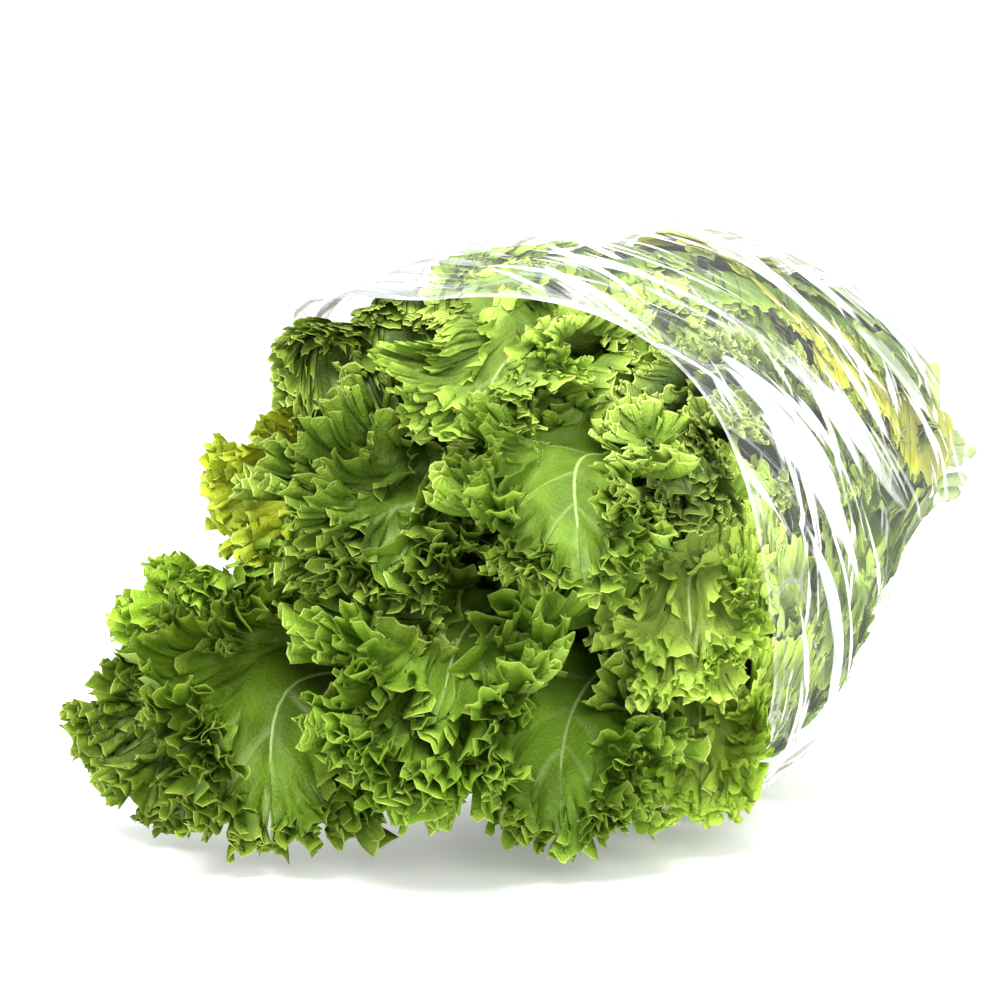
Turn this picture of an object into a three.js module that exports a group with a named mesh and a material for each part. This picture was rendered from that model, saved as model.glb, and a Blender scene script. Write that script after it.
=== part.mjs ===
// A bunch of curly kale lying in a clear film sleeve. Millimetres, +Z up. The origin is the middle
// of the flat spot that the sleeve's belly rests on. +X runs along the bunch to the cut stems, and
// the open crown of leaves faces -X. A bearing is an angle in the cross-section, seen from the
// crown: 0 is +Y, 90 is up, 180 is -Y and 270 is down.
import * as THREE from "three";

// ---- Driving dimensions ----

// The sleeve's cross-section along the bunch: [x, centre y, centre z, half width, half height].
const SECTIONS = [
  [-105, 12, 104, 97, 101],
  [-60, 8, 113, 100, 117],
  [-20, 6, 112, 100, 120],
  [20, 4, 115, 94, 119],
  [60, 1, 113, 82, 114],
  [100, -2, 127, 66, 90],
  [140, -4, 134, 49, 68],
  [175, -3, 132, 35, 46],
  [205, 0, 126, 27, 31],
  [235, 3, 121, 25, 26],
];
// Where the film ends at the crown: [bearing, x]. It reaches furthest at one corner, its ear.
const MOUTH = [
  [0, -45], [28, -52], [42, -84], [56, -108], [72, -96], [90, -82],
  [140, -50], [180, -36], [220, -9], [245, -15], [270, -27], [300, -35], [330, -36], [360, -45],
];
const EAR_BEARING = 56; // the corner of the film that stands up from the leaves
const EAR_SPREAD = 16; // degrees each way
const EAR_LIFT = 24;
const EAR_DEPTH = 42; // how far back from the mouth the ear fades out
const TAIL_X = 213; // where the film ends round the stems
const TAIL_SLANT = 13; // its upper side ends this much sooner and its lower side later
const FILM = 0.8; // the film as a solid, much thicker than the real film
const SLEEVE_SIDES = 32;
const SLEEVE_STEPS = 9;
const PLEATS = 8; // gathers round the stems
const PLEAT_DEPTH = 0.7;
const PLEATED = [0.55, 0.9]; // shares of the film's length between which the gathers deepen

const STEM_RADIUS = 3.2; // at the cut end
const STEM_SIDES = 6;
const STEM_STEPS = 9;
const OUTER = 0.7; // share of the sleeve's radius at which the outer stems run
const INNER = 0.32;
const STATIONS = [200, 150, 95, 25]; // where a stem keeps to its place in the bunch
const CROWN_RUN = 45; // it keeps to no place nearer to its crown than this
const PATH_STEPS = 36; // straight pieces that a leaf's middle line is measured by

const BLADE = 1.2; // blade thickness
const STEM_END = 0.28; // share of the leaf's length at which the round stem ends
const BLADE_START = 0.3; // and at which the blade begins
const OPENING = [0.5, 0.86]; // shares of the leaf's length between which it opens towards its crown
const RIB_RADIUS = 2.3; // where the stem enters the blade
const RIB_TIP_RADIUS = 0.8;
const RIB_FOOT = 3.4; // from the rib's crest to the blade beside it
const RIB_FOOT_TIP = 1.4;
const ROWS = 18; // side veins from the blade's base to its tip, one row of the mesh each
const ROW_CROWDING = 1.8; // above 1 sets the side veins closer towards the tip
const ROOT_REACH = 0.9; // the last side vein leaves the rib at this share of the blade
const RINGS = [0, 0.05, 0.46, 0.77, 1]; // the crest, the rib's foot, then shares of the way to the margin
const CREST = RINGS.length - 1; // the rib's column in a row that runs from margin to margin
const COLUMNS = 2 * CREST + 1;
const MARGIN_PAST_RIB = 3; // the least width of blade beside the rib's foot
const BASE_WIDTH = 7; // half width where the blade begins
const BASE_LENGTH = 0.12; // share of the blade over which it leaves that width
const LOWER_WIDTH = 0.24; // width low down, as a share of the widest
const WIDEST = 0.8; // share of the blade at which it is widest
const TIP_ROUNDNESS = 2.4;
const STEM_BEND = 0.025; // how strongly the blade's low sides bend up, per mm
const CUP = 0.012; // and its sides at the crown
const MOST_TURN = 1.9; // radians
const TOOTH = 0.1; // every second margin point is drawn in by this share of the half width
const FRILL = 0.4; // height of the margin's wave, as a share of the half width
const FRILL_ROWS = 2.7; // rows in one wave
const FRILL_SHIFT = 1.7; // radians from one leaf's waves to the next leaf's
const FRILL_GROWTH = [0.1, 0.4]; // shares of the blade between which the wave grows to its height

const GAP = 2; // kept free between the rooms of neighbours
const SLEEVE_ROOM = 0.2; // a leaf's room in the sleeve, as a share of the sleeve's smaller radius
const LINING = 4.5; // the leaves stay this far inside the sleeve's outer face
const SPILL_START = 5; // they may pass the sleeve's outline this far in front of the mouth
const SPILL_SLOPE = 1.6;
const SPILL_FREE = 60; // and this far in front nothing holds them
const FIT_STEPS = 16; // widths tried in turn for each side vein
const FIT_SMOOTHING = 3; // times that a side vein is held back to its neighbours' mean
const NARROWEST = 0.12;
const REST_LIFT = 3; // leaves inside the sleeve stay this far above the surface

// One entry a leaf. slot: the stem's bearing and ring. end: x of the cut. crown and tip: where the
// blade turns outwards and where it ends. face: the way its upper side looks there. share: its weight
// when the room at the crown is divided among neighbours. width: the most that its half width may be.
// lift: how far a cut end that stands off the others is moved, in y and z.
const LEAVES = [
  { name: "leaf_front_floor", slot: [285, OUTER], end: 221, crown: [-150, 46, 66], tip: [-176, 32, 6],
    face: [-0.8, -0.5, 0.3], share: 50, width: 62, color: 0x5f8a2b },
  { name: "leaf_left_floor", slot: [312, OUTER], end: 214, crown: [-146, 96, 50], tip: [-176, 128, 24],
    face: [-0.7, -0.6, 0.4], share: 46, width: 58, color: 0x4e6d26 },
  { name: "leaf_left_low", slot: [340, OUTER], end: 226, crown: [-118, 92, 93], tip: [-156, 130, 66],
    face: [-0.7, -0.7, 0.3], share: 50, width: 60, color: 0x547a27 },
  { name: "leaf_left", slot: [8, OUTER], end: 209, crown: [-94, 68, 144], tip: [-124, 110, 124],
    face: [-0.7, -0.7, 0.2], share: 50, width: 60, color: 0x86992f },
  { name: "leaf_left_top", slot: [62, OUTER], end: 217, crown: [-82, 50, 192], tip: [-118, 86, 178],
    face: [-0.7, -0.7, 0.2], share: 50, width: 58, color: 0x42592a },
  { name: "leaf_top_front", slot: [95, INNER], end: 230, crown: [-76, -6, 203], tip: [-114, -14, 164],
    face: [-0.8, -0.2, 0.5], share: 46, width: 60, color: 0x77994c },
  { name: "leaf_heart", slot: [165, INNER], end: 240, crown: [-92, -52, 158], tip: [-132, -84, 110],
    face: [-0.8, -0.4, 0.4], share: 44, width: 60, color: 0x6c9338 },
  { name: "leaf_heart_left", slot: [20, INNER], end: 222, crown: [-112, 10, 146], tip: [-154, -12, 98],
    face: [-0.8, -0.3, 0.5], share: 46, width: 60, color: 0x587d2c },
  { name: "leaf_heart_low", slot: [300, INNER], end: 228, crown: [-122, -18, 92], tip: [-160, -34, 44],
    face: [-0.8, -0.4, 0.4], share: 44, width: 58, color: 0x5d8630 },
  { name: "leaf_front_low", slot: [235, INNER], end: 212, crown: [-88, -42, 58], tip: [-114, -56, 14],
    face: [-0.8, -0.5, 0.3], share: 40, width: 54, color: 0x6a9335 },
  { name: "leaf_right_fine", slot: [212, OUTER], end: 219, crown: [-50, -70, 110], tip: [-82, -98, 66],
    face: [-0.8, -0.5, 0.3], share: 38, width: 42, color: 0x8aab57 },
  { name: "leaf_right_floor", slot: [238, OUTER], end: 224, crown: [-22, -54, 56], tip: [-54, -78, 12],
    face: [-0.7, -0.6, 0.3], share: 38, width: 50, color: 0x75993f },
  { name: "leaf_right_top", slot: [158, OUTER], end: 215, crown: [-42, -62, 166], tip: [-74, -92, 128],
    face: [-0.8, -0.5, 0.4], share: 38, width: 44, color: 0x6b8f4a },
  { name: "leaf_film_top", slot: [88, OUTER], end: 197, crown: [0, 12, 206], tip: [-44, 14, 204],
    face: [-0.3, 0.0, -1.0], share: 34, width: 46, color: 0x6a8d45 },
  { name: "leaf_film_yellow", slot: [124, OUTER], end: 222, crown: [72, -24, 192], tip: [28, -40, 200],
    face: [-0.2, 0.4, -0.9], share: 32, width: 44, color: 0xa4ad35, lift: [12, 22] },
  { name: "leaf_film_right", slot: [186, OUTER], end: 210, crown: [58, -62, 112], tip: [16, -78, 110],
    face: [-0.2, 1.0, 0.1], share: 32, width: 44, color: 0x5f8138 },
  { name: "leaf_film_left", slot: [35, OUTER], end: 216, crown: [28, 57, 160], tip: [-12, 72, 158],
    face: [-0.2, -1.0, 0.0], share: 34, width: 48, color: 0x5c7f33 },
  { name: "leaf_film_under", slot: [262, OUTER], end: 227, crown: [24, -8, 34], tip: [-26, -4, 30],
    face: [-0.2, 0.0, 1.0], share: 34, width: 46, color: 0x55782f },
];

const vec = (list) => new THREE.Vector3(...list);
const mix = THREE.MathUtils.lerp;
const rise = THREE.MathUtils.smoothstep;

// ---- The sleeve's outline ----

function curveThrough(rows) {
  const places = rows.map((row) => row[0]);
  const values = rows.flatMap((row) => row.slice(1));
  const curve = new THREE.CubicInterpolant(places, values, rows[0].length - 1);
  return (at) => curve.evaluate(at);
}

const sectionAt = curveThrough(SECTIONS);
const mouthAt = curveThrough(MOUTH);

function bearingOf(y, z, section) {
  const angle = Math.atan2((z - section[1]) / section[3], (y - section[0]) / section[2]);
  return (THREE.MathUtils.radToDeg(angle) + 360) % 360;
}

// A point of the bunch by its place along it, its bearing and its share of the sleeve's radius.
function inBunch(x, bearing, share) {
  const [cy, cz, ry, rz] = sectionAt(x);
  const angle = THREE.MathUtils.degToRad(bearing);
  return new THREE.Vector3(x, cy + ry * share * Math.cos(angle), cz + rz * share * Math.sin(angle));
}

function sleevePoint(bearing, along, inset) {
  const angle = THREE.MathUtils.degToRad(bearing);
  const mouth = mouthAt(bearing)[0];
  const tail = TAIL_X - TAIL_SLANT * Math.sin(angle);
  const x = mix(mouth, tail, along);
  const [cy, cz, ry, rz] = sectionAt(x);
  const off = (bearing - EAR_BEARING) / EAR_SPREAD;
  const ear = EAR_LIFT * Math.exp(-off * off) * Math.exp(-(x - mouth) / EAR_DEPTH);
  const pleat = PLEAT_DEPTH * rise(along, ...PLEATED) * Math.cos(PLEATS * angle);
  const grow = ear + pleat - inset;
  const z = cz + (rz + grow) * Math.sin(angle);
  return new THREE.Vector3(x, cy + (ry + grow) * Math.cos(angle), Math.max(z, inset));
}

function closedGeometry(points, faces) {
  const geometry = new THREE.BufferGeometry().setFromPoints(points);
  geometry.setIndex(faces.flat());
  return geometry;
}

function buildSleeve() {
  const points = [];
  for (const inset of [0, FILM]) {
    for (let step = 0; step <= SLEEVE_STEPS; step++) {
      for (let side = 0; side < SLEEVE_SIDES; side++) {
        points.push(sleevePoint((360 * side) / SLEEVE_SIDES, step / SLEEVE_STEPS, inset));
      }
    }
  }
  const layer = (SLEEVE_STEPS + 1) * SLEEVE_SIDES;
  const at = (inner, step, side) => inner * layer + step * SLEEVE_SIDES + (side % SLEEVE_SIDES);
  const faces = [];
  const quad = (a, b, c, d) => faces.push([a, b, c], [a, c, d]);
  for (let side = 0; side < SLEEVE_SIDES; side++) {
    for (let step = 0; step < SLEEVE_STEPS; step++) {
      quad(at(0, step, side), at(0, step, side + 1), at(0, step + 1, side + 1), at(0, step + 1, side));
      quad(at(1, step, side), at(1, step + 1, side), at(1, step + 1, side + 1), at(1, step, side + 1));
    }
    quad(at(0, 0, side), at(1, 0, side), at(1, 0, side + 1), at(0, 0, side + 1));
    const last = SLEEVE_STEPS;
    quad(at(0, last, side), at(0, last, side + 1), at(1, last, side + 1), at(1, last, side));
  }
  return closedGeometry(points, faces);
}

// ---- A leaf's middle line, and the room that it keeps to ----

function stemPoints(leaf) {
  const [bearing, ring] = leaf.slot;
  const [liftY, liftZ] = leaf.lift ?? [0, 0];
  const stations = STATIONS.filter((x) => x > leaf.crown[0] + CROWN_RUN);
  const points = stations.map((x) => inBunch(x, bearing, ring));
  const cut = inBunch(leaf.end, bearing, ring).add(new THREE.Vector3(0, liftY, liftZ));
  return [cut, ...points, vec(leaf.crown), vec(leaf.tip)];
}

function roomAt(leaf, along, point) {
  const [, , ry, rz] = sectionAt(point.x);
  return mix(SLEEVE_ROOM * Math.min(ry, rz), leaf.share, rise(along, ...OPENING));
}

for (const leaf of LEAVES) {
  leaf.path = new THREE.CatmullRomCurve3(stemPoints(leaf), false, "centripetal");
  leaf.samples = leaf.path.getSpacedPoints(PATH_STEPS);
  leaf.rooms = leaf.samples.map((point, i) => roomAt(leaf, i / PATH_STEPS, point));
  leaf.cores = leaf.samples.map((_, i) => mix(STEM_RADIUS, RIB_TIP_RADIUS, i / PATH_STEPS));
  settleSides(leaf);
}

// The nearest place on a leaf's middle line: its distance, the room there and the stem's radius.
const segment = new THREE.Line3();
const foot = new THREE.Vector3();
function nearest(leaf, point) {
  let best = { distance: Infinity };
  for (let i = 0; i < PATH_STEPS; i++) {
    segment.set(leaf.samples[i], leaf.samples[i + 1]);
    const t = segment.closestPointToPointParameter(point, true);
    const distance = segment.at(t, foot).distanceTo(point);
    if (distance < best.distance) {
      best = { distance, room: mix(leaf.rooms[i], leaf.rooms[i + 1], t), core: leaf.cores[i] };
    }
  }
  return best;
}

function insideSleeve(point) {
  const section = sectionAt(point.x);
  const [cy, cz, ry, rz] = section;
  const mouth = mouthAt(bearingOf(point.y, point.z, section))[0];
  const spill = Math.max(0, mouth - SPILL_START - point.x) * SPILL_SLOPE;
  const limit = spill - LINING;
  const share = Math.hypot((point.y - cy) / (ry + limit), (point.z - cz) / (rz + limit));
  if (spill > 0) return (share < 1 || point.x < mouth - SPILL_FREE) && point.z > BLADE / 2;
  return share < 1 && point.z > REST_LIFT;
}

function isFree(leaf, point, others) {
  if (!insideSleeve(point)) return false;
  const own = nearest(leaf, point);
  const clear = (BLADE + GAP) / 2;
  return others.every((other) => {
    const theirs = nearest(other, point);
    const away = theirs.distance - theirs.core - clear;
    return away / theirs.room >= (own.distance + clear) / own.room;
  });
}

// ---- A leaf's blade ----

function inwardsOf(leaf) {
  const bearing = THREE.MathUtils.degToRad(leaf.slot[0]);
  return new THREE.Vector3(0, -Math.cos(bearing), -Math.sin(bearing));
}

// A leaf turns the side to its face that takes the smaller twist, and cups the other way to suit.
function settleSides(leaf) {
  const ahead = leaf.path.getTangentAt(OPENING[1]);
  const across = (direction) => direction.addScaledVector(ahead, -direction.dot(ahead));
  const face = across(vec(leaf.face));
  const turned = face.dot(across(inwardsOf(leaf))) < 0 ? -1 : 1;
  leaf.upperSide = face.multiplyScalar(turned).normalize();
  leaf.bend = CUP * turned;
}

function frameAt(leaf, along) {
  const clamped = Math.min(Math.max(along, 0), 1);
  const origin = leaf.path.getPointAt(clamped);
  const ahead = leaf.path.getTangentAt(clamped);
  const upper = inwardsOf(leaf).lerp(leaf.upperSide, rise(clamped, ...OPENING));
  upper.addScaledVector(ahead, -upper.dot(ahead)).normalize();
  return { origin, ahead, upper, side: new THREE.Vector3().crossVectors(ahead, upper) };
}

// How far along the blade a side vein meets the margin, from 0 to 1.
const veinPlace = (row) => 1 - (1 - row / ROWS) ** ROW_CROWDING;

function halfWidth(leaf, t) {
  const spread = mix(LOWER_WIDTH, 1, rise(t, BASE_LENGTH, WIDEST));
  const past = Math.max(0, (t - WIDEST) / (1 - WIDEST));
  const base = rise(t, 0, BASE_LENGTH);
  return mix(BASE_WIDTH, leaf.width * spread, base) * Math.sqrt(1 - past ** TIP_ROUNDNESS);
}

// A point of the blade's middle surface. Hand is -1 or 1, and fit narrows the blade.
function bladePoint(leaf, row, ring, hand, fit) {
  const share = RINGS[ring];
  const t = veinPlace(row);
  const root = mix(BLADE_START, 1, ROOT_REACH * t);
  const margin = mix(BLADE_START, 1, t);
  const frame = frameAt(leaf, mix(root, margin, share));
  const tooth = ring === RINGS.length - 1 && row % 2 ? TOOTH : 0;
  const ribFoot = row === ROWS ? 0 : mix(RIB_FOOT, RIB_FOOT_TIP, t);
  const width = Math.max(halfWidth(leaf, t) * fit, ribFoot + MARGIN_PAST_RIB * (1 - t));
  const across = ring === 0 ? 0 : mix(ribFoot, row === ROWS ? 0 : width, share - tooth);
  const bend = mix(STEM_BEND, leaf.bend, rise(margin, ...OPENING));
  const turn = THREE.MathUtils.clamp(bend * across, -MOST_TURN, MOST_TURN);
  const radius = across / (turn || 1);
  const sideways = radius * Math.sin(turn);
  const lift = radius * (1 - Math.cos(turn));
  const swing = (2 * Math.PI * row) / FRILL_ROWS + leaf.phase + hand;
  const height = FRILL * halfWidth(leaf, t) * fit * rise(t, ...FRILL_GROWTH);
  const frill = height * share ** 2 * Math.sin(swing);
  const point = frame.origin.clone();
  if (ring > 0) {
    point.addScaledVector(frame.side, hand * (sideways - frill * Math.sin(turn)));
    point.addScaledVector(frame.upper, lift + frill * Math.cos(turn));
  }
  return point;
}

// The widest share of its full width at which a side vein stays in its leaf's own room.
function fitOf(leaf, row, hand, others) {
  const pastRib = [...RINGS.keys()].slice(2);
  for (let step = FIT_STEPS; step > 0; step--) {
    const fit = mix(NARROWEST, 1, step / FIT_STEPS);
    const points = pastRib.map((ring) => bladePoint(leaf, row, ring, hand, fit));
    if (points.every((point) => isFree(leaf, point, others))) return fit;
  }
  return NARROWEST;
}

// Each side vein's fit, no wider than its neighbours' so that the blade's outline stays smooth.
function fitsOf(leaf, hand, others) {
  let fits = Array.from({ length: ROWS + 1 }, (_, row) => fitOf(leaf, row, hand, others));
  for (let pass = 0; pass < FIT_SMOOTHING; pass++) {
    fits = fits.map((fit, row) => Math.min(fit, mix(fits[row - 1] ?? fit, fits[row + 1] ?? fit, 0.5)));
  }
  return fits;
}

// The blade's middle surface, as a mesh of side veins by rings.
function bladeSheet(leaf, others) {
  const fits = { [-1]: fitsOf(leaf, -1, others), 1: fitsOf(leaf, 1, others) };
  const points = [];
  for (let row = 0; row <= ROWS; row++) {
    for (let column = 0; column < COLUMNS; column++) {
      const hand = Math.sign(column - CREST) || 1;
      points.push(bladePoint(leaf, row, Math.abs(column - CREST), hand, fits[hand][row]));
    }
  }
  const faces = [];
  for (let row = 0; row < ROWS; row++) {
    for (let column = 0; column < COLUMNS - 1; column++) {
      const [a, b] = [vertexAt(row, column), vertexAt(row, column + 1)];
      const [c, d] = [vertexAt(row + 1, column + 1), vertexAt(row + 1, column)];
      if (column < CREST) faces.push([a, b, c], [a, c, d]);
      else faces.push([a, b, d], [b, c, d]);
    }
  }
  return { points, faces };
}

// The last row's two halves are one line, from the rib's end to the tip.
function vertexAt(row, column) {
  const own = row === ROWS && column > CREST ? 2 * CREST - column : column;
  return row * COLUMNS + own;
}

function sheetNormals({ points, faces }) {
  const normals = points.map(() => new THREE.Vector3());
  for (const [a, b, c] of faces) {
    const edge = points[b].clone().sub(points[a]);
    const normal = edge.cross(points[c].clone().sub(points[a]));
    for (const i of [a, b, c]) normals[i].add(normal);
  }
  return normals.map((normal) => normal.normalize());
}

// ---- A leaf's stem ----

function stemRing(leaf, along) {
  const { origin, upper, side } = frameAt(leaf, along);
  const radius = mix(STEM_RADIUS, RIB_RADIUS, along / STEM_END);
  return Array.from({ length: STEM_SIDES }, (_, corner) => {
    const angle = (2 * Math.PI * corner) / STEM_SIDES;
    const point = origin.clone().addScaledVector(side, radius * Math.cos(angle));
    return point.addScaledVector(upper, radius * Math.sin(angle));
  });
}

// Closes the band between two loops of points that run the same way round.
function bandBetween(first, second) {
  const faces = [];
  let [i, j] = [0, 0];
  while (i < first.length || j < second.length) {
    const [a, b] = [first[i % first.length], second[j % second.length]];
    if (j === second.length || (i < first.length && i / first.length <= j / second.length)) {
      i++;
      faces.push([a, b, first[i % first.length]]);
    } else {
      j++;
      faces.push([a, b, second[j % second.length]]);
    }
  }
  return faces;
}

// ---- A whole leaf ----

// One closed skin: the stem's rings, then the blade's two faces, alike and joined along the margin.
function leafGeometry(leaf, others) {
  const sheet = bladeSheet(leaf, others);
  const normals = sheetNormals(sheet);
  const points = [];
  const rings = [];
  for (let step = 0; step <= STEM_STEPS; step++) {
    rings.push(Array.from({ length: STEM_SIDES }, (_, corner) => points.length + corner));
    points.push(...stemRing(leaf, (STEM_END * step) / STEM_STEPS));
  }
  const upper = points.length;
  const under = upper + sheet.points.length;
  for (const face of [1, -1]) {
    sheet.points.forEach((point, i) => {
      const t = veinPlace(Math.floor(i / COLUMNS));
      const half = i % COLUMNS === CREST ? mix(RIB_RADIUS, RIB_TIP_RADIUS, t) : BLADE / 2;
      const moved = point.clone().addScaledVector(normals[i], face * half);
      points.push(moved.setZ(Math.max(moved.z, 0)));
    });
  }
  const base = Array.from({ length: COLUMNS }, (_, column) => column);
  rings.push([...base.map((column) => upper + column).reverse(), ...base.map((column) => under + column)]);

  const faces = rings.slice(1).flatMap((ring, i) => bandBetween(rings[i], ring));
  for (let corner = 2; corner < STEM_SIDES; corner++) faces.push([0, corner - 1, corner]);
  for (const [a, b, c] of sheet.faces) {
    faces.push([upper + a, upper + b, upper + c], [under + a, under + c, under + b]);
  }
  for (let row = 0; row < ROWS; row++) {
    const left = [vertexAt(row, 0), vertexAt(row + 1, 0)];
    const right = [vertexAt(row + 1, COLUMNS - 1), vertexAt(row, COLUMNS - 1)];
    for (const [a, b] of [left, right]) {
      faces.push([upper + a, upper + b, under + b], [upper + a, under + b, under + a]);
    }
  }
  return closedGeometry(points, faces);
}

// ---- The bunch ----

function buildLeaf(leaf, number) {
  leaf.phase = number * FRILL_SHIFT;
  const geometry = leafGeometry(leaf, LEAVES.filter((other) => other !== leaf));
  const finish = { color: leaf.color, roughness: 0.55, metalness: 0 };
  const mesh = new THREE.Mesh(geometry, new THREE.MeshStandardMaterial(finish));
  mesh.name = leaf.name;
  return mesh;
}

const bunch = new THREE.Group();
LEAVES.forEach((leaf, number) => bunch.add(buildLeaf(leaf, number)));
const film = { color: 0xe9eef0, roughness: 0.15, metalness: 0, transparent: true, opacity: 0.35 };
const sleeve = new THREE.Mesh(buildSleeve(), new THREE.MeshStandardMaterial(film));
sleeve.name = "sleeve";
bunch.add(sleeve);

export default bunch;
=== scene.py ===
"""The looks of a bunch of curly kale lying in a clear film sleeve.

Every leaf is a thin ruffled sheet with its stem, on the path of its solid. The sleeve is a thin
creased film. Lengths are in millimetres until a mesh is made, and in metres for the camera, the
lights and the textures. Bearings round the bunch are in degrees: 0 faces +Y and 90 faces up.
"""
import math

import bpy
import numpy as np
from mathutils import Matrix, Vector


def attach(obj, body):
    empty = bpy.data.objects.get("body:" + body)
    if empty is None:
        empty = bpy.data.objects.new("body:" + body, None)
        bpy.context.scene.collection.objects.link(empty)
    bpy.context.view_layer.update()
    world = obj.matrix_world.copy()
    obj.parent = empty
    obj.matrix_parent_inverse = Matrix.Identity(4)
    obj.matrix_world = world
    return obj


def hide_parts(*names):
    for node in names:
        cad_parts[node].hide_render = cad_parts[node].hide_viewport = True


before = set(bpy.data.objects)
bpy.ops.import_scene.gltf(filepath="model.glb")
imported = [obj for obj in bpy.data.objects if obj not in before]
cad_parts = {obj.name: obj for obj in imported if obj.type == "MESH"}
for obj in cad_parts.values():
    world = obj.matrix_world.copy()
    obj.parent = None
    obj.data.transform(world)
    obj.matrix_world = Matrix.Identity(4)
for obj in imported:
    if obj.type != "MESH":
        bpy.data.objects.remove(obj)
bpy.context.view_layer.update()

# ---- Camera ----

CAMERA_PLACE = (-1.2406, -0.9739, 0.3479)
CAMERA_AIM = (-0.080, 0.0, 0.135)
LENS = 143.2


def set_camera():
    camera = bpy.data.objects.new("camera", bpy.data.cameras.new("camera"))
    camera.data.lens = LENS
    camera.data.sensor_width = 36
    camera.data.clip_end = 50
    camera.location = CAMERA_PLACE
    look = Vector(CAMERA_AIM) - camera.location
    camera.rotation_euler = look.to_track_quat("-Z", "Y").to_euler()
    bpy.context.collection.objects.link(camera)
    bpy.context.scene.camera = camera


set_camera()

# ---- The bunch's measures ----

# The sleeve's cross-section along the bunch: x, centre y, centre z, half width, half height.
SECTIONS = [
    (-105, 12, 104, 97, 101),
    (-60, 8, 113, 100, 117),
    (-20, 6, 112, 100, 120),
    (20, 4, 115, 94, 119),
    (60, 1, 113, 82, 114),
    (100, -2, 127, 66, 90),
    (140, -4, 134, 49, 68),
    (175, -3, 132, 35, 46),
    (205, 0, 126, 27, 31),
    (235, 3, 121, 25, 26),
]
# Where the film ends at the crown: bearing, x.
MOUTH = [
    (0, -45), (28, -52), (42, -84), (56, -108), (72, -96), (90, -82),
    (140, -50), (180, -36), (220, -9), (245, -15), (270, -27), (300, -35), (330, -36), (360, -45),
]
# The film's ear stands up from its mouth: its bearing, spread and height, and how far back it fades.
EAR_BEARING, EAR_SPREAD, EAR_LIFT, EAR_DEPTH = 56, 16, 24, 42
# The limp film sinks on the leaves next to the ear, and bulges at its top further back.
DROOP, DROOP_BEARING, DROOP_SPREAD = 11, 112, 34
BULGE, BULGE_X, BULGE_LENGTH = 5, 30, 75
# The film ends round the stems at this x, sooner above and later below, in pleats that grow between
# two shares of its length.
TAIL_X, TAIL_SLANT = 213, 13
PLEATS, PLEAT_DEPTH, PLEATED = 8, 0.7, (0.55, 0.9)
# The film's folds slant round it: at this bearing they reach furthest to the crown, by this much.
FOLD_TOP, FOLD_SLANT = 70, 95
FOLD_TURN = math.radians(FOLD_TOP)
# It has long folds of two widths and short fine ones, and is a little tighter than without them.
LONG_FOLDS, LONG_FOLD_HEIGHT = (13, 9), 1.6
FINE_FOLD, FINE_FOLD_BEARING, FINE_FOLD_HEIGHT = 3.6, 7.5, 0.5
TIGHTER = 1.4
FILM_AROUND, FILM_STEPS, FILM_LOWEST = 180, 110, 0.25

# A leaf's middle line runs from the cut through places in the bunch to its crown and its tip. Its
# blade starts at a share of that line, and between two shares it turns from the bunch to its facing.
STEM_RADIUS, RIB_RADIUS, RIB_TIP_RADIUS, RIB_END_RADIUS = 3.2, 2.3, 0.8, 0.5
OUTER, INNER = 0.7, 0.32
STATIONS = (200, 150, 95, 25)
CROWN_RUN = 45
LINE_STEPS, PATH_STEPS = 200, 36
BLADE_START, OPENING = 0.15, (0.5, 0.86)
RIB_FLAT, RIB_FLATTENS = 0.62, 0.3
STEM_RINGS, STEM_SIDES, STEM_END = 64, 10, 0.985
STEM_RIDGES, RIDGE_DEPTH, STEM_UNEVEN, UNEVEN_LENGTH = 5, 0.05, 0.06, 14
STEM_FREE = (130, 170)  # the x between which the film lets go of the stems

# A blade is laid out in rows, from its base to its tip, which crowd towards the tip. Each starts at
# the rib's foot, at a share of the way to where it meets the margin.
ROWS, ROW_CROWDING, ROOT_REACH = 18, 1.8, 0.9
RIB_FOOT, RIB_FOOT_TIP, MARGIN_PAST_RIB = 3.4, 1.4, 3
# It is narrow at its base, widest at a share of its length, and round at its tip.
BASE_WIDTH, BASE_LENGTH, WIDEST, TIP_ROUNDNESS = 7, 0.12, 0.8, 2.4
# It is cupped by so many radians a millimetre, at the stem and where it opens.
STEM_BEND, CUP, MOST_TURN = 0.025, 0.012, 1.9
# It has the waves of its solid: their height as a share of its width, the rows from one to the next,
# the shift from one leaf to the next, and the shares of its length between which they grow.
FRILL, FRILL_ROWS, FRILL_SHIFT, FRILL_GROWTH = 0.4, 2.7, 1.7, (0.1, 0.4)
# The first side vein's row, the rows from one to the next, and how far each is shifted. The blade
# puffs up between them, most between two shares of its width.
FIRST_VEIN, VEIN_SPACING, VEIN_SHIFT = 1.0, 2.1, 0.25
VEIN_PUFF, PUFF_SHARES = 1.3, (0.3, 0.6)
# A side vein's width at the rib and at the margin. The forks on each side of it, by how far they lead
# aside, the shares of the width between which one starts, and its width.
VEIN_WIDTH, VEIN_END, FORK_ROWS = 0.9, 0.25, 0.85
FORKS = [(1, (0.22, 0.5), 0.45), (0.45, (0.5, 0.65), 0.3)]
# The margin's roll is uneven over a length, less on lobes that lie on another, and less at the tip.
ROLL_UNEVEN, ROLL_LENGTH, LEAST_ROLL = 0.6, 31, 0.05
LOBE_UNROLLED, TIP_ROLL, TIP_FLAT = 0.15, 0.45, (0.75, 0.97)
# Folds lean and drift by so many radians, and overhang and reach out by shares of their height. They
# are full from a share of the blade's length, and grow where it is between two widths.
FOLD_LEAN, FOLD_DRIFT, FOLD_OVERHANG, FOLD_REACH = 1.5, 2.6, 0.45, 0.4
FOLDS_FULL, FOLDED_WIDTHS = 0.08, (2, 12)
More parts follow.
